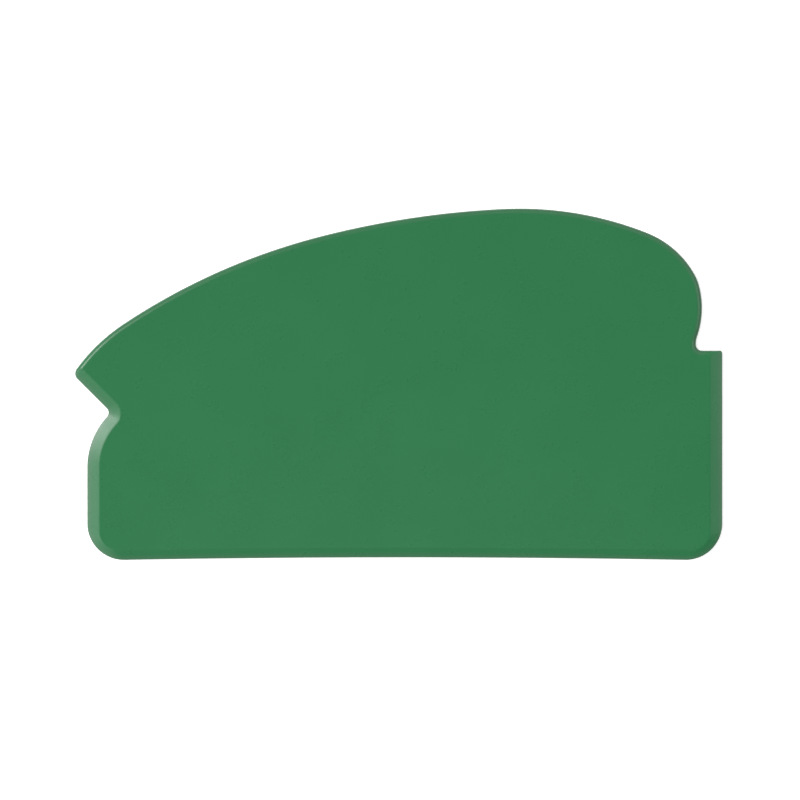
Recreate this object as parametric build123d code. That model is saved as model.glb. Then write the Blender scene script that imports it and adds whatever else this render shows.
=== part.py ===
from build123d import *
import os
from dataclasses import dataclass
from math import sqrt

# Pan scraper: one moulded plate, lying flat on its lower face. Millimetres.
# +X runs along the plate to the stepped end, +Y from the straight working edge to the domed back, and +Z up
# through the thickness. The origin is the middle of the plate's box, on the face that the scraper rests on.

# Whole plate
blade_length = 165.0
blade_width = 89.6
blade_thickness = 2.0

# Rim, where the two faces' bevels meet
rim_thickness = 0.6
rim_rounding = 0.2

# How far each bevel reaches in from the outline
end_bevel = 3.2
notch_bevel = 2.85
base_bevel = 2.65
dome_bevel = 1.45
shelf_bevel = 1.6

# How full the edges are: 0 is a flat bevel and 1 is rounded over from the rim to the face
working_fullness_share = 0.05
handled_fullness_share = 1.0

# Straight working edge along the bottom, very slightly hollow so that it springs flat under pressure
base_hollow = 0.65
base_corner_radius = 9.3

# Domed back, from the crown to the tip: joints between its arcs, as shares of the length and the width
crown_share = 0.1876
dome_joint_shares = [(0.1571, 0.4986), (-0.1262, 0.4182), (-0.4259, 0.1706)]

# Head, from the crown to the undercut: joints as shares of the length and of its height over the shelf
head_joint_shares = [(0.384, 0.8285), (0.4576, 0.5327), (0.4639, 0.4619), (0.4613, 0.0983), (0.4594, 0.0493)]

# Shelf of the step at the right-hand end, and the hollow corner over it
shelf_height = 53.4
shelf_corner_radius = 0.6
undercut_radius = 1.45

# Pointed tip at the left-hand end, and the notch under it that rides on a pan's rim
tip_height = 47.55
tip_radius = 2.0
notch_angle = 45.0
notch_root_radius = 1.6

# Lower left-hand side: set back from the tip, then bent over into the notch
side_setback = 3.1
bend_height = 23.6
bend_radius = 19.0

# Smallest corner that a bevel's inner line keeps
inner_corner_radius = 0.3

# The share of a bevel's depth that comes off a corner's radius: 1 keeps the bevel's width round the corner
plain_corner_depth_share = 1.0
hollow_corner_depth_share = 0.85
base_corner_depth_share = 1.6

# Steps up the edge, from the rim at 0 to the face at 1
rise_shares = [0.0, 0.35, 0.65, 0.87, 1.0]

# Each kind of edge: how far it reaches in, and how full it is
edge_kinds = {
    "end": (end_bevel, working_fullness_share),
    "notch": (notch_bevel, working_fullness_share),
    "base": (base_bevel, working_fullness_share),
    "dome": (dome_bevel, handled_fullness_share),
    "shelf": (shelf_bevel, handled_fullness_share),
}

# The outline is walked clockwise seen from above, so the material lies on the right of every side.
left_end = -blade_length / 2
right_end = blade_length / 2
bottom = -blade_width / 2
top = blade_width / 2
shelf_level = bottom + shelf_height


def right_of(heading):
    """The direction a quarter turn to the right, which is inwards."""
    return Vector(heading.Y, -heading.X)


@dataclass(frozen=True)
class StraightSide:
    """A straight stretch of the outline."""

    point: Vector
    heading: Vector

    def inset(self, depth):
        return StraightSide(self.point + right_of(self.heading) * depth, self.heading)

    def foot(self, place):
        """The point of this side that is nearest to a place."""
        return self.point + self.heading * (place - self.point).dot(self.heading)

    def edge(self, start, end):
        return Edge.make_line(start, end)


@dataclass(frozen=True)
class RoundSide:
    """An arc of the outline, with a positive radius where it bulges and a negative one where it is hollow."""

    centre: Vector
    radius: float

    def inset(self, depth):
        return RoundSide(self.centre, self.radius - depth)

    def foot(self, place):
        """The point of this side that is nearest to a place."""
        return self.centre + (place - self.centre).normalized() * abs(self.radius)

    def heading(self, place):
        """The direction of the walk at a point of this side."""
        outwards = (place - self.centre).normalized()
        return right_of(outwards) if self.radius > 0 else -right_of(outwards)

    def edge(self, start, end):
        middle = self.foot((start + end) / 2)
        return Edge.make_three_point_arc(start, middle, end)


@dataclass(frozen=True)
class Corner:
    """A rounded corner between two sides. The radius is negative in a hollow corner."""

    radius: float
    near: Vector
    depth_share: float = plain_corner_depth_share

    def at_depth(self, depth):
        """The corner's radius where the outline has moved inwards."""
        moved = self.radius - self.depth_share * depth
        return max(moved, inner_corner_radius) if self.radius > 0 else moved


def arc_between(start, heading, end):
    """The arc that leaves start along heading and meets end."""
    chord = end - start
    radius = chord.dot(chord) / (2 * chord.dot(right_of(heading)))
    return RoundSide(start + right_of(heading) * radius, radius)


def arcs_through(start, heading, joints):
    """One tangent arc after another, each of them ending at the next joint."""
    arcs = []
    for joint in joints:
        arc = arc_between(start, heading, joint)
        arcs.append(arc)
        start, heading = joint, arc.heading(joint)
    return arcs


def crossing(first, second, near):
    """Where a straight side meets another side, at the crossing that is nearer to a place."""
    line, other = (first, second) if isinstance(first, StraightSide) else (second, first)
    if isinstance(other, StraightSide):
        across = right_of(other.heading)
        run = (other.point - line.point).dot(across) / line.heading.dot(across)
        return line.point + line.heading * run
    middle = line.foot(other.centre)
    reach = sqrt(other.radius**2 - (middle - other.centre).length ** 2)
    ends = [middle + line.heading * reach, middle - line.heading * reach]
    return min(ends, key=lambda end: (end - near).length)


def place_on_plate(shares):
    return Vector(shares[0] * blade_length, shares[1] * blade_width)


def place_on_head(shares):
    return Vector(shares[0] * blade_length, shelf_level + shares[1] * (top - shelf_level))


def dome_sides():
    """The domed back's arcs in the order of the walk, from tip to crown, and the joints between them."""
    crown = Vector(crown_share * blade_length, top)
    joints = [place_on_plate(shares) for shares in dome_joint_shares]
    tip_centre = Vector(left_end + tip_radius, bottom + tip_height)
    arcs = arcs_through(crown, Vector(-1, 0), joints)
    # The last arc touches the tip's own circle, so it is found inwards of the outline by the tip's radius.
    # This walk goes down from the crown, against the outline's, so the material lies on its left.
    last_joint = joints[-1]
    heading = arcs[-1].heading(last_joint)
    inner = arc_between(last_joint - right_of(heading) * tip_radius, heading, tip_centre)
    arcs.append(RoundSide(inner.centre, inner.radius - tip_radius))
    # The walk goes the other way round them, so each arc that bulges has a positive radius.
    arcs = [RoundSide(arc.centre, -arc.radius) for arc in reversed(arcs)]
    return arcs, [*reversed(joints), crown]


def head_sides():
    """The head's arcs from crown to undercut, with the joint or hollow corner that ends each of them."""
    crown = Vector(crown_share * blade_length, top)
    joints = [place_on_head(shares) for shares in head_joint_shares]
    under_head = Corner(-undercut_radius, joints[-1], hollow_corner_depth_share)
    return arcs_through(crown, Vector(1, 0), joints), [*joints[:-1], under_head]


def base_side(side_x):
    """The hollow working edge: one wide arc that touches both lower corners' circles."""
    half_span = (right_end - side_x) / 2 - base_corner_radius
    reach = (base_hollow**2 + half_span**2) / (2 * base_hollow)
    radius = reach - base_corner_radius
    centre = Vector((right_end + side_x) / 2, bottom + base_hollow - radius)
    return RoundSide(centre, -radius)


def stretches():
    """Every side of the outline from the crown round, with its kind of edge and its ending."""
    dome, dome_joints = dome_sides()
    head, head_endings = head_sides()
    side_x = left_end + side_setback
    tip_centre = Vector(left_end + tip_radius, bottom + tip_height)
    notch_heading = Vector(-1, 0).rotate(Axis.Z, -notch_angle)
    side_top = Vector(side_x, bottom + bend_height)

    shelf = StraightSide(Vector(right_end, shelf_level), Vector(1, 0))
    step_end = StraightSide(Vector(right_end, shelf_level), Vector(0, -1))
    side = StraightSide(side_top, Vector(0, 1))
    bend = RoundSide(side_top + Vector(bend_radius, 0), bend_radius)
    notch = StraightSide(tip_centre - right_of(notch_heading) * tip_radius, notch_heading)

    shelf_end = Corner(shelf_corner_radius, Vector(right_end, shelf_level))
    right_foot = Corner(base_corner_radius, Vector(right_end, bottom), base_corner_depth_share)
    left_foot = Corner(base_corner_radius, Vector(side_x, bottom), base_corner_depth_share)
    notch_root = Corner(-notch_root_radius, tip_centre, hollow_corner_depth_share)
    tip = Corner(tip_radius, tip_centre)

    return [
        *[(arc, "dome", ending) for arc, ending in zip(head, head_endings)],
        (shelf, "shelf", shelf_end),
        (step_end, "end", right_foot),
        (base_side(side_x), "base", left_foot),
        (side, "end", side_top),
        (bend, "end", notch_root),
        (notch, "notch", tip),
        *[(arc, "dome", joint) for arc, joint in zip(dome, dome_joints)],
    ]


def depth_at(kind, rise):
    """How far inside the outline the surface lies, at a share of the way up from the rim to the face."""
    width, fullness = edge_kinds[kind]
    rim_share = rim_thickness / blade_thickness
    height_share = rim_share + (1 - rim_share) * rise
    bevelled = rim_rounding + (width - rim_rounding) * rise
    rounded = width * (1 - sqrt(1 - height_share**2))
    return (1 - fullness) * bevelled + fullness * rounded


def turn_at(side, depth, ending, after, after_depth):
    """Where one side stops and the next begins, with the rounded corner between them if there is one."""
    if not isinstance(ending, Corner):
        joint = side.foot(ending)
        return joint, None, joint
    radius = ending.at_depth((depth + after_depth) / 2)
    centre = crossing(side.inset(radius), after.inset(radius), ending.near)
    return side.foot(centre), RoundSide(centre, radius), after.foot(centre)


def outline(depths, height):
    """The closed outline at a height, with each kind of edge moved inwards by its own depth."""
    moved = [(side.inset(depths[kind]), depths[kind], ending) for side, kind, ending in stretches()]
    following = [*moved[1:], moved[0]]
    turns = []
    for (side, depth, ending), (after, after_depth, _) in zip(moved, following):
        turns.append(turn_at(side, depth, ending, after, after_depth))
    edges = []
    _, _, start = turns[-1]
    for (side, _, _), (leave, rounding, resume) in zip(moved, turns):
        edges.append(side.edge(start, leave))
        if rounding:
            edges.append(rounding.edge(leave, resume))
        start = resume
    lifted = Location((0, 0, height))
    return Wire([edge.moved(lifted) for edge in edges])


def scraper_blade():
    """The plate: outlines from the lower face out to the rim and in to the upper face, joined by a loft."""
    middle = blade_thickness / 2
    rim = rim_thickness / 2
    upper = [(rim - rim_rounding, {kind: 0 for kind in edge_kinds})]
    for rise in rise_shares:
        height = rim + (middle - rim) * rise
        upper.append((height, {kind: depth_at(kind, rise) for kind in edge_kinds}))
    lower = [(-height, depths) for height, depths in reversed(upper)]
    wires = [outline(depths, middle + height) for height, depths in [*lower, *upper]]
    return Solid.make_loft(wires, ruled=True)


os.makedirs("parts", exist_ok=True)
blade = scraper_blade()
blade.label = "scraper_blade"
export_step(blade, "parts/scraper_blade.step")
box = blade.bounding_box()
print("scraper_blade", "valid" if blade.is_valid else "NOT VALID")
print("volume mm3", round(blade.volume, 1), "size mm", [round(side, 3) for side in box.size])
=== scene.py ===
import math
from dataclasses import dataclass

import bpy
import numpy as np
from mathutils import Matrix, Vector
from mathutils.geometry import delaunay_2d_cdt


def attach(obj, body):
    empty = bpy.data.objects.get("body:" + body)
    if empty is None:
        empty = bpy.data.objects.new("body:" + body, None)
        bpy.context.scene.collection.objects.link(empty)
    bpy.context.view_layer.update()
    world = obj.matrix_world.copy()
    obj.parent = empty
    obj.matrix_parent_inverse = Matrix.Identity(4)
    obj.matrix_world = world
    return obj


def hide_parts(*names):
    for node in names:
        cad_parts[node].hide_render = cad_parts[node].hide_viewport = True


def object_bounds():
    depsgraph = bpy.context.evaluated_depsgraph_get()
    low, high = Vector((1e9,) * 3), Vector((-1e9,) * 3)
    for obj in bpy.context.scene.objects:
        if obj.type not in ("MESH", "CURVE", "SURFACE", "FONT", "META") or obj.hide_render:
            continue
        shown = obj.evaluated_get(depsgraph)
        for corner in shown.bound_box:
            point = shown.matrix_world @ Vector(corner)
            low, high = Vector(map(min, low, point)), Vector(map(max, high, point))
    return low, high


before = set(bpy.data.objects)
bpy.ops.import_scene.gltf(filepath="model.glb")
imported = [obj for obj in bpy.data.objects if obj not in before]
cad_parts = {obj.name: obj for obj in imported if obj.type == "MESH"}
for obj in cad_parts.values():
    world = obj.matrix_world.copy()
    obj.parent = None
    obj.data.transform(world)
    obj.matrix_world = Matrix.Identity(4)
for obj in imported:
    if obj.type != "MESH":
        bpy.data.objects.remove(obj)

# A pan scraper: one moulded plate of green polypropylene, lying flat on a white floor and seen from above.
# Metres, in the frame of the CAD model: +X towards the stepped end, +Y towards the domed back, +Z up.

NODE = "scraper_blade"
SLOT = "green_polypropylene"
MM = 0.001

cad_low, cad_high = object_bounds()

# The plate's box comes from the CAD model
LEFT, BOTTOM, REST = cad_low
RIGHT, TOP, FACE = cad_high
LENGTH = RIGHT - LEFT
WIDTH = TOP - BOTTOM
MIDDLE = (REST + FACE) / 2
HALF_THICKNESS = (FACE - REST) / 2

# Outline, as in the CAD model
BASE_HOLLOW = 0.65 * MM
BASE_CORNER_RADIUS = 9.3 * MM
CROWN_SHARE = 0.1876
DOME_JOINT_SHARES = [(0.1571, 0.4986), (-0.1262, 0.4182), (-0.4259, 0.1706)]
HEAD_JOINT_SHARES = [(0.384, 0.8285), (0.4576, 0.5327), (0.4639, 0.4619), (0.4613, 0.0983), (0.4594, 0.0493)]
SHELF_HEIGHT = 53.4 * MM
SHELF_CORNER_RADIUS = 0.6 * MM
UNDERCUT_RADIUS = 1.45 * MM
TIP_HEIGHT = 47.55 * MM
TIP_RADIUS = 2.0 * MM
NOTCH_ANGLE = math.radians(45)
NOTCH_ROOT_RADIUS = 1.6 * MM
SIDE_SETBACK = 3.1 * MM
BEND_HEIGHT = 23.6 * MM
BEND_RADIUS = 19.0 * MM
INNER_CORNER_RADIUS = 0.3 * MM

# How fast a corner's radius changes along its bevel: 1 keeps the bevel's width, and more narrows it there
HOLLOW_CORNER_RATE = 0.85
BASE_CORNER_RATE = 1.6

# Edges: how far each kind reaches in, and how full it is, from a flat bevel at 0 to round at 1
EDGE_KINDS = {
    "end": (3.2 * MM, 0.05),
    "notch": (2.85 * MM, 0.05),
    "base": (2.65 * MM, 0.05),
    "dome": (1.45 * MM, 1.0),
    "shelf": (1.6 * MM, 1.0),
}
RIM_HALF = 0.3 * MM
RIM_ROUNDING = 0.2 * MM
RIM_SOFTNESS = 0.06 * MM
CREASE_SOFTNESS = 0.018 * MM
PARTING_RIDGE = 0.02 * MM

# Steps up the edge from the parting line, as shares of half the thickness. Past 1 is beyond the crease.
RIM_SHARES = [0.0, 0.03, 0.1, 0.16, 0.21, 0.25, 0.29, 0.33]
BEVEL_SHARES = [0.38, 0.45, 0.53, 0.61, 0.69, 0.76, 0.82]
CREASE_SHARES = [0.89, 0.93, 0.955, 0.975, 0.99, 1.005, 1.025, 1.05]
BORDER_SHARE = 1.09
ROUND_BORDER = 0.3 * MM

# Spacing of the mesh along the outline, in its corners and over the flat faces
SIDE_SPACING = 0.7 * MM
CORNER_STEPS = 12
FACE_SPACING = 1.8 * MM
FACE_MARGIN = 1.0 * MM
SAME_POINT = 0.001 * MM

# Unevenness of the flat faces: its depth, the way that it takes to grow from the border, and its waves, each of
# them as radians a metre along X and along Y, and the phase at the origin
DIP_DEPTH = 0.012 * MM
DIP_FADE = 12 * MM
DIP_WAVES = [(31.0, 17.0, 0.4), (-23.0, 41.0, 2.1), (53.0, -29.0, 4.4), (11.0, 61.0, 1.3)]

# In millimetres: the width of the rim's painted sheen, and the distance in from the outline that the flat faces
# carry
SHEEN_RIM_WIDTH = 1.5
FACE_INSET = 4.0

# Green polypropylene: the two shades of its cloudiness, and the paler grey that the rim leans to, a painted
# sheen
DEEP_GREEN = (0.0162, 0.1573, 0.0536, 1)
PALE_GREEN = (0.0182, 0.1649, 0.0566, 1)
PAINTED_SHEEN_GREY = (0.125, 0.14, 0.125, 1)

# Lamps: name, azimuth from +X, tilt from straight up and width of the source in degrees, strength, and
# distance in metres, which is 0 for a lamp too far away for its distance to show
LAMPS = [
    ("key", 150, 37, 19, 1.219, 0),
    ("low_key", 178, 75, 67, 1.824, 0),
    ("side_key", 183, 43, 37, 0.602, 0),
    ("left_fill", 221, 49, 34, 0.319, 0.417),
    ("right_fill", 9, 43, 29, 0.339, 0),
    ("back_fill", 59, 45, 47, 0.275, 0),
    ("front_fill", 269, 21, 31, 0.109, 0.417),
]
WORLD_STRENGTH = 0.3

# This lamp is low enough to turn the face white for an eye opposite it, so the plate doesn't mirror it
UNMIRRORED_LAMP = "low_key"


def right_of(heading):
    """The direction a quarter turn to the right, which is inwards, as the walk is clockwise from above."""
    return heading * -1j


@dataclass(frozen=True)
class StraightSide:
    """A straight stretch of the outline. Points and directions are complex numbers, X + Y i."""

    point: complex
    heading: complex

    def inset(self, depth):
        return StraightSide(self.point + right_of(self.heading) * depth, self.heading)

    def foot(self, place):
        return self.point + self.heading * ((place - self.point) * self.heading.conjugate()).real

    def run(self, start, end):
        return abs(end - start)

    def points(self, start, end, count):
        return start + (end - start) * np.arange(count) / count


@dataclass(frozen=True)
class RoundSide:
    """An arc of the outline, with a positive radius where it bulges and a negative one where it is hollow."""

    centre: complex
    radius: float

    def inset(self, depth):
        return RoundSide(self.centre, self.radius - depth)

    def foot(self, place):
        outwards = place - self.centre
        return self.centre + outwards / abs(outwards) * abs(self.radius)

    def heading(self, place):
        outwards = (place - self.centre) / abs(place - self.centre)
        return right_of(outwards) if self.radius > 0 else -right_of(outwards)

    def turn(self, start, end):
        """The angle from start to end about the centre: clockwise on a bulge, the other way in a hollow."""
        return float(np.angle((end - self.centre) / (start - self.centre)))

    def run(self, start, end):
        return abs(self.turn(start, end) * self.radius)

    def points(self, start, end, count):
        angles = self.turn(start, end) * np.arange(count) / count
        return self.centre + (start - self.centre) * np.exp(1j * angles)


@dataclass(frozen=True)
class Corner:
    """A rounded corner between two sides. The radius is negative in a hollow corner."""

    radius: float
    near: complex
    rate: float = 1.0

    def at_depth(self, depth):
        """The corner's radius where the outline has moved inwards, changed at the corner's own rate."""
        moved = self.radius - self.rate * depth
        return max(moved, INNER_CORNER_RADIUS) if self.radius > 0 else moved


def arc_between(start, heading, end):
    """The arc that leaves start along heading and meets end."""
    chord = end - start
    radius = abs(chord) ** 2 / (2 * (chord * right_of(heading).conjugate()).real)
    return RoundSide(start + right_of(heading) * radius, radius)


def arcs_through(start, heading, joints):
    """One tangent arc after another, each of them ending at the next joint."""
    arcs = []
    for joint in joints:
        arc = arc_between(start, heading, joint)
        arcs.append(arc)
        start, heading = joint, arc.heading(joint)
    return arcs


def crossing(first, second, near):
    """Where a straight side meets another side, at the crossing that is nearer to a place."""
    line, other = (first, second) if isinstance(first, StraightSide) else (second, first)
    if isinstance(other, StraightSide):
        across = right_of(other.heading)
        offset = ((other.point - line.point) * across.conjugate()).real
        return line.point + line.heading * offset / (line.heading * across.conjugate()).real
    middle = line.foot(other.centre)
    reach = math.sqrt(other.radius**2 - abs(middle - other.centre) ** 2)
    ends = [middle + line.heading * reach, middle - line.heading * reach]
    return min(ends, key=lambda end: abs(end - near))


def place_on_plate(shares):
    return complex(shares[0] * LENGTH, shares[1] * WIDTH)


def place_on_head(shares):
    shelf = BOTTOM + SHELF_HEIGHT
    return complex(shares[0] * LENGTH, shelf + shares[1] * (TOP - shelf))


def dome_sides(crown, tip_centre):
    """The domed back's arcs from the tip up to the crown, and the joints between them."""
    joints = [place_on_plate(shares) for shares in DOME_JOINT_SHARES]
    arcs = arcs_through(crown, -1 + 0j, joints)
    # The last arc touches the tip's own circle, so it is found inwards of the outline by the tip's radius.
    heading = arcs[-1].heading(joints[-1])
    inner = arc_between(joints[-1] - right_of(heading) * TIP_RADIUS, heading, tip_centre)
    arcs.append(RoundSide(inner.centre, inner.radius - TIP_RADIUS))
    return [RoundSide(arc.centre, -arc.radius) for arc in reversed(arcs)], [*reversed(joints), crown]


def base_side(side_x):
    """The hollow working edge: one wide arc that touches both lower corners' circles."""
    half_span = (RIGHT - side_x) / 2 - BASE_CORNER_RADIUS
    radius = (BASE_HOLLOW**2 + half_span**2) / (2 * BASE_HOLLOW) - BASE_CORNER_RADIUS
    return RoundSide(complex((RIGHT + side_x) / 2, BOTTOM + BASE_HOLLOW - radius), -radius)


def stretches():
    """Every side of the outline from the crown round, with its kind of edge and its ending."""
    crown = complex(CROWN_SHARE * LENGTH, TOP)
    tip_centre = complex(LEFT + TIP_RADIUS, BOTTOM + TIP_HEIGHT)
    side_x = LEFT + SIDE_SETBACK
    side_top = complex(side_x, BOTTOM + BEND_HEIGHT)
    step = complex(RIGHT, BOTTOM + SHELF_HEIGHT)
    notch_heading = -np.exp(-1j * NOTCH_ANGLE)

    dome, dome_joints = dome_sides(crown, tip_centre)
    head_joints = [place_on_head(shares) for shares in HEAD_JOINT_SHARES]
    head = arcs_through(crown, 1 + 0j, head_joints)
    head_endings = [*head_joints[:-1], Corner(-UNDERCUT_RADIUS, head_joints[-1], HOLLOW_CORNER_RATE)]
    right_foot = Corner(BASE_CORNER_RADIUS, complex(RIGHT, BOTTOM), BASE_CORNER_RATE)
    left_foot = Corner(BASE_CORNER_RADIUS, complex(side_x, BOTTOM), BASE_CORNER_RATE)

    bend = RoundSide(side_top + BEND_RADIUS, BEND_RADIUS)
    notch = StraightSide(tip_centre - right_of(notch_heading) * TIP_RADIUS, notch_heading)
    return [
        *[(arc, "dome", ending) for arc, ending in zip(head, head_endings)],
        (StraightSide(step, 1 + 0j), "shelf", Corner(SHELF_CORNER_RADIUS, step)),
        (StraightSide(step, -1j), "end", right_foot),
        (base_side(side_x), "base", left_foot),
        (StraightSide(side_top, 1j), "end", side_top),
        (bend, "end", Corner(-NOTCH_ROOT_RADIUS, tip_centre, HOLLOW_CORNER_RATE)),
        (notch, "notch", Corner(TIP_RADIUS, tip_centre)),
        *[(arc, "dome", joint) for arc, joint in zip(dome, dome_joints)],
    ]


def turn_at(side, depth, ending, after, after_depth):
    """Where one side stops and the next begins, with the rounded corner between them if there is one."""
    if not isinstance(ending, Corner):
        joint = side.foot(ending)
        return joint, None, joint
    radius = ending.at_depth((depth + after_depth) / 2)
    centre = crossing(side.inset(radius), after.inset(radius), ending.near)
    return side.foot(centre), RoundSide(centre, radius), after.foot(centre)


def spans(sides, depths):
    """Each side and corner of the outline as (side, start, end), moved inwards by its kind's depth."""
    moved = [(side.inset(depths[kind]), depths[kind], ending) for side, kind, ending in sides]
    turns = []
    for (side, depth, ending), (after, after_depth, _) in zip(moved, [*moved[1:], moved[0]]):
        turns.append(turn_at(side, depth, ending, after, after_depth))
    found = []
    start = turns[-1][2]
    for (side, _, _), (leave, rounding, resume) in zip(moved, turns):
        found.append((side, start, leave))
        if rounding:
            found.append((rounding, leave, resume))
        start = resume
    return found


def edge_step(share):
    """The height over the middle and the depths inside the outline, at a share of the way up the edge."""
    rise = share * HALF_THICKNESS
    softness = CREASE_SOFTNESS
    height = -softness * np.logaddexp(-rise / softness, -HALF_THICKNESS / softness) if share else 0.0
    if share == BORDER_SHARE:
        height = HALF_THICKNESS
    ridge = 0.0 if share == 0 else PARTING_RIDGE
    depths = {}
    for kind, (reach, fullness) in EDGE_KINDS.items():
        slope = (reach - RIM_ROUNDING) / (HALF_THICKNESS - RIM_HALF)
        line = RIM_ROUNDING + slope * (rise - RIM_HALF)
        bevelled = RIM_SOFTNESS * np.logaddexp(0, line / RIM_SOFTNESS)
        rounded = reach * (1 - math.sqrt(max(1 - (height / HALF_THICKNESS) ** 2, 0)))
        if share == BORDER_SHARE:
            rounded += ROUND_BORDER
        depths[kind] = float(ridge + (1 - fullness) * bevelled + fullness * rounded)
    return float(height), depths


def edge_rings():
    """The rings up the edge, from the parting line to the flat face: heights, and rows of complex points."""
    sides = stretches()
    counts = []
    for side, start, end in spans(sides, {kind: 0.0 for kind in EDGE_KINDS}):
        steps = math.ceil(side.run(start, end) / SIDE_SPACING)
        counts.append(max(steps, CORNER_STEPS))
    heights, rows = [], []
    for share in [*RIM_SHARES, *BEVEL_SHARES, *CREASE_SHARES, BORDER_SHARE]:
        height, depths = edge_step(share)
        row = [side.points(start, end, n) for (side, start, end), n in zip(spans(sides, depths), counts)]
        heights.append(height)
        rows.append(np.concatenate(row))
    return np.array(heights), np.array(rows)


def inside(points, border):
    """Which points lie inside a closed border."""
    ahead = np.roll(border, -1)
    found = np.zeros(len(points), bool)
    for a, b in zip(border, ahead):
        spans_y = (a.imag > points.imag) != (b.imag > points.imag)
        if a.imag != b.imag:
            crossing_x = a.real + (points.imag - a.imag) * (b.real - a.real) / (b.imag - a.imag)
            found ^= spans_y & (points.real < crossing_x)
    return found


def face_mesh(border):
    """The points inside the border on a hexagonal grid, and triangles over border and points together."""
    row_gap = FACE_SPACING * math.sqrt(3) / 2
    rows = np.arange(BOTTOM, TOP, row_gap)
    columns = np.arange(LEFT, RIGHT, FACE_SPACING)
    grid = [complex(x + FACE_SPACING / 2 * (i % 2), y) for i, y in enumerate(rows) for x in columns]
    grid = np.array(grid)
    grid = grid[inside(grid, border)]
    clear = [np.abs(border - point).min() > FACE_MARGIN for point in grid]
    grid = grid[clear]
    flat = [(p.real, p.imag) for p in [*border, *grid]]
    ring = list(range(len(border)))
    _, _, triangles, sources, _, _ = delaunay_2d_cdt(flat, [], [ring], 1, SAME_POINT)
    triangles = [[sources[v][0] for v in triangle] for triangle in triangles]
    return grid, triangles


def sink(points, border):
    """How far the face dips at each point: a moulded sheet's faint, slow unevenness, none at its border."""
    waves = [np.sin(a * points.real + b * points.imag + phase) for a, b, phase in DIP_WAVES]
    wave_share = 0.5 + 0.5 * sum(waves) / len(waves)
    reach = np.array([np.abs(border - point).min() for point in points])
    fade = np.clip(reach / DIP_FADE, 0, 1)
    smooth_fade = fade * fade * (3 - 2 * fade)
    return DIP_DEPTH * wave_share * smooth_fade


def blade_mesh():
    """The whole plate as one closed mesh: the edge's rings, mirrored about the parting line, and two faces."""
    heights, rows = edge_rings()
    parting_line = rows[0]
    border = rows[-1]
    around = len(border)
    grid, triangles = face_mesh(border)
    dips = sink(grid, border)

    upper_rings = list(zip(heights, rows))
    lower_rings = [(-height, row) for height, row in reversed(upper_rings[1:])]
    rings = [*lower_rings, *upper_rings]
    vertices, inset = [], []
    for height, row in rings:
        vertices += [(p.real, p.imag, MIDDLE + height) for p in row]
        inset += list(np.abs(row - parting_line) / MM)
    lower_grid = len(vertices)
    vertices += [(p.real, p.imag, REST + d) for p, d in zip(grid, dips)]
    upper_grid = len(vertices)
    vertices += [(p.real, p.imag, FACE - d) for p, d in zip(grid, dips)]
    inset += [FACE_INSET] * (2 * len(grid))

    faces = []
    for k in range(len(rings) - 1):
        low, high = k * around, (k + 1) * around
        for i in range(around):
            j = (i + 1) % around
            faces.append((low + i, high + i, high + j, low + j))
    last = (len(rings) - 1) * around
    for a, b, c in triangles:
        lower = [v if v < around else lower_grid + v - around for v in (a, b, c)]
        upper = [last + v if v < around else upper_grid + v - around for v in (a, b, c)]
        faces.append(tuple(reversed(lower)))
        faces.append(tuple(upper))

    mesh = bpy.data.meshes.new(NODE + "_moulding")
    mesh.from_pydata(vertices, [], faces)
    mesh.update()
    mesh.polygons.foreach_set("use_smooth", [True] * len(mesh.polygons))
    attribute = mesh.attributes.new("inset", "FLOAT", "POINT")
    attribute.data.foreach_set("value", np.array(inset, np.float32))
    return mesh


def node(tree, kind, values=(), **settings):
    """A new shader node with its settings and its sockets' values."""
    made = tree.nodes.new(kind)
    for name, value in settings.items():
        setattr(made, name, value)
    for name, value in dict(values).items():
        made.inputs[name].default_value = value
    return made


def polypropylene():
    """Satin green polypropylene with a faint cloudiness and fine moulded grain, and a painted sheen that makes
    its rim paler and greyer.
    """
    material = bpy.data.materials.new(SLOT)
    material.use_nodes = True
    tree = material.node_tree
    tree.nodes.clear()
    link = tree.links.new
    place = node(tree, "ShaderNodeTexCoord").outputs["Object"]

    cloud = node(tree, "ShaderNodeTexNoise", {"Scale": 45.0, "Detail": 3.0, "Roughness": 0.55})
    link(place, cloud.inputs["Vector"])
    colour = node(tree, "ShaderNodeValToRGB")
    deep, pale = colour.color_ramp.elements
    deep.position = 0.3
    deep.color = DEEP_GREEN
    pale.position = 0.7
    pale.color = PALE_GREEN
    link(cloud.outputs["Fac"], colour.inputs["Fac"])

    # Painted sheen: the outer 1.5 mm of the rim leans to a paler grey, most of all at the outline.
    inset = node(tree, "ShaderNodeAttribute", attribute_name="inset")
    sheen_share = node(tree, "ShaderNodeMapRange", {"From Max": SHEEN_RIM_WIDTH, "To Min": 0.3, "To Max": 0.0})
    link(inset.outputs["Fac"], sheen_share.inputs["Value"])
    rim_sheen = node(tree, "ShaderNodeMix", data_type="RGBA")
    rim_sheen.inputs["B"].default_value = PAINTED_SHEEN_GREY
    link(sheen_share.outputs["Result"], rim_sheen.inputs["Factor"])
    link(colour.outputs["Color"], rim_sheen.inputs["A"])

    patch = node(tree, "ShaderNodeTexNoise", {"Scale": 160.0, "Detail": 4.0, "Roughness": 0.6})
    link(place, patch.inputs["Vector"])
    roughness = node(tree, "ShaderNodeMapRange", {"To Min": 0.25, "To Max": 0.31})
    link(patch.outputs["Fac"], roughness.inputs["Value"])

    grain = node(tree, "ShaderNodeTexNoise", {"Scale": 3800.0, "Detail": 2.0, "Roughness": 0.5})
    link(place, grain.inputs["Vector"])
    fine = node(tree, "ShaderNodeBump", {"Strength": 0.25, "Distance": 0.01 * MM})
    link(grain.outputs["Fac"], fine.inputs["Height"])

    shader = node(tree, "ShaderNodeBsdfPrincipled", {"IOR": 1.49})
    link(rim_sheen.outputs["Result"], shader.inputs["Base Color"])
    link(roughness.outputs["Result"], shader.inputs["Roughness"])
    link(fine.outputs["Normal"], shader.inputs["Normal"])
    output = node(tree, "ShaderNodeOutputMaterial")
    link(shader.outputs["BSDF"], output.inputs["Surface"])
    return material


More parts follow.
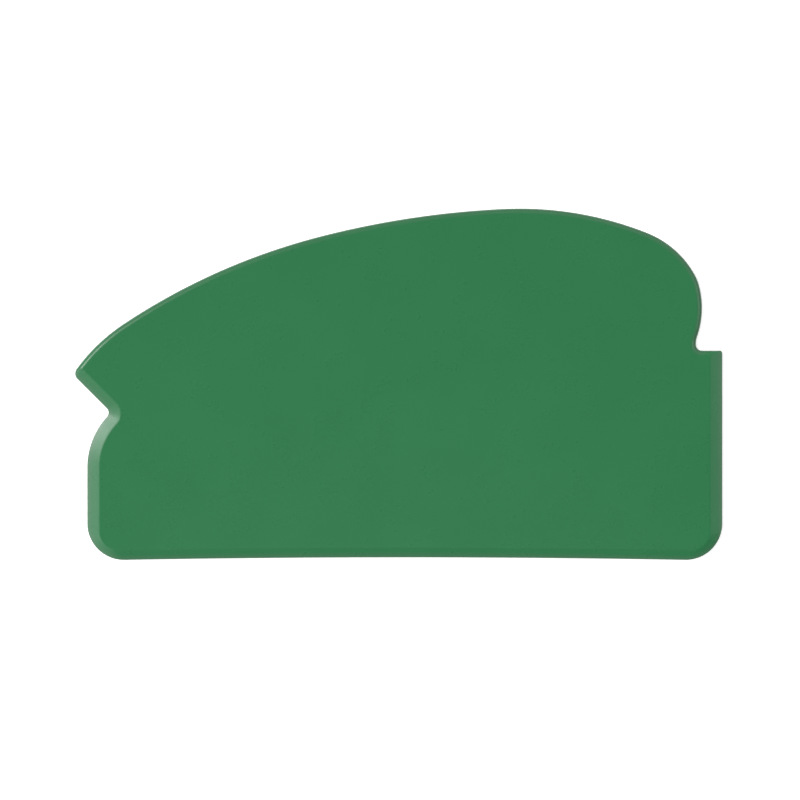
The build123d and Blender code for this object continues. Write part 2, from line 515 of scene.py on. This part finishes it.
def seen_directly(tree):
    """1 for rays from the camera, from mirrors and through glass, and 0 for those that light the object."""
    path = node(tree, "ShaderNodeLightPath")
    total = path.outputs["Is Camera Ray"]
    for name in ("Is Glossy Ray", "Is Transmission Ray"):
        larger = node(tree, "ShaderNodeMath", operation="MAXIMUM")
        tree.links.new(total, larger.inputs[0])
        tree.links.new(path.outputs[name], larger.inputs[1])
        total = larger.outputs["Value"]
    return total


def floor():
    """A large white floor. Seen directly it is lifted to white, and it keeps the plate's soft shadow."""
    size = 30.0
    lift = 0.62
    mesh = bpy.data.meshes.new("floor")
    corners = [(-size, -size, REST), (size, -size, REST), (size, size, REST), (-size, size, REST)]
    mesh.from_pydata(corners, [], [(0, 1, 2, 3)])
    made = bpy.data.objects.new("floor", mesh)
    bpy.context.scene.collection.objects.link(made)
    material = bpy.data.materials.new("floor_white")
    material.use_nodes = True
    tree = material.node_tree
    tree.nodes.clear()
    paint = node(tree, "ShaderNodeBsdfDiffuse", {"Color": (0.86, 0.86, 0.86, 1)})
    glow = node(tree, "ShaderNodeEmission", {"Color": (1, 1, 1, 1)})
    strength = node(tree, "ShaderNodeMath", operation="MULTIPLY")
    strength.inputs[1].default_value = lift
    tree.links.new(seen_directly(tree), strength.inputs[0])
    tree.links.new(strength.outputs["Value"], glow.inputs["Strength"])
    both = node(tree, "ShaderNodeAddShader")
    tree.links.new(paint.outputs["BSDF"], both.inputs[0])
    tree.links.new(glow.outputs["Emission"], both.inputs[1])
    output = node(tree, "ShaderNodeOutputMaterial")
    tree.links.new(both.outputs["Shader"], output.inputs["Surface"])
    mesh.materials.append(material)


def surroundings():
    """The room's even light. The camera sees it as white as the floor."""
    world = bpy.data.worlds.new("studio")
    bpy.context.scene.world = world
    world.use_nodes = True
    tree = world.node_tree
    tree.nodes.clear()
    background = node(tree, "ShaderNodeBackground", {"Color": (1, 1, 1, 1)})
    direct = node(tree, "ShaderNodeLightPath").outputs["Is Camera Ray"]
    strength = node(tree, "ShaderNodeMapRange", {"To Min": WORLD_STRENGTH, "To Max": 1.0})
    tree.links.new(direct, strength.inputs["Value"])
    tree.links.new(strength.outputs["Result"], background.inputs["Strength"])
    output = node(tree, "ShaderNodeOutputWorld")
    tree.links.new(background.outputs["Background"], output.inputs["Surface"])


def soft_lamp(name, azimuth, tilt, spread, strength, distance):
    """A wide soft lamp, placed by the way to it from the origin. Its strength is the light it gives there."""
    width = math.radians(spread)
    if distance:
        lamp = bpy.data.lights.new(name, "AREA")
        lamp.shape = "DISK"
        lamp.size = 2 * distance * math.tan(width / 2)
        lamp.energy = strength * math.pi * distance**2
    else:
        lamp = bpy.data.lights.new(name, "SUN")
        lamp.angle = width
        lamp.energy = strength
    around, down = math.radians(azimuth), math.radians(tilt)
    way = Vector((math.sin(down) * math.cos(around), math.sin(down) * math.sin(around), math.cos(down)))
    made = bpy.data.objects.new(name, lamp)
    made.location = way * (distance or 1)
    made.rotation_euler = way.to_track_quat("Z", "Y").to_euler()
    made.visible_glossy = name != UNMIRRORED_LAMP
    bpy.context.scene.collection.objects.link(made)


def camera():
    """The camera hangs over the plate, framed as in the photograph."""
    pixels = 800
    plate_pixels = 647.14
    centre_pixels = complex(398.7, 384.22)
    pixel = LENGTH / plate_pixels
    lens, sensor = 200.0, 36.0
    made = bpy.data.cameras.new("camera")
    made.lens = lens
    made.sensor_width = sensor
    x = (pixels / 2 - centre_pixels.real) * pixel
    y = (centre_pixels.imag - pixels / 2) * pixel
    away = pixels * pixel * lens / sensor
    hung = bpy.data.objects.new("camera", made)
    hung.location = (x, y, MIDDLE + away)
    bpy.context.scene.collection.objects.link(hung)
    bpy.context.scene.camera = hung


blade = bpy.data.objects.new("moulded_blade", blade_mesh())
bpy.context.scene.collection.objects.link(blade)
blade.data.materials.append(polypropylene())
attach(blade, "root")
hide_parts(NODE)

floor()
surroundings()
for lamp in LAMPS:
    soft_lamp(*lamp)
camera()
bpy.context.scene.view_settings.view_transform = "Standard"
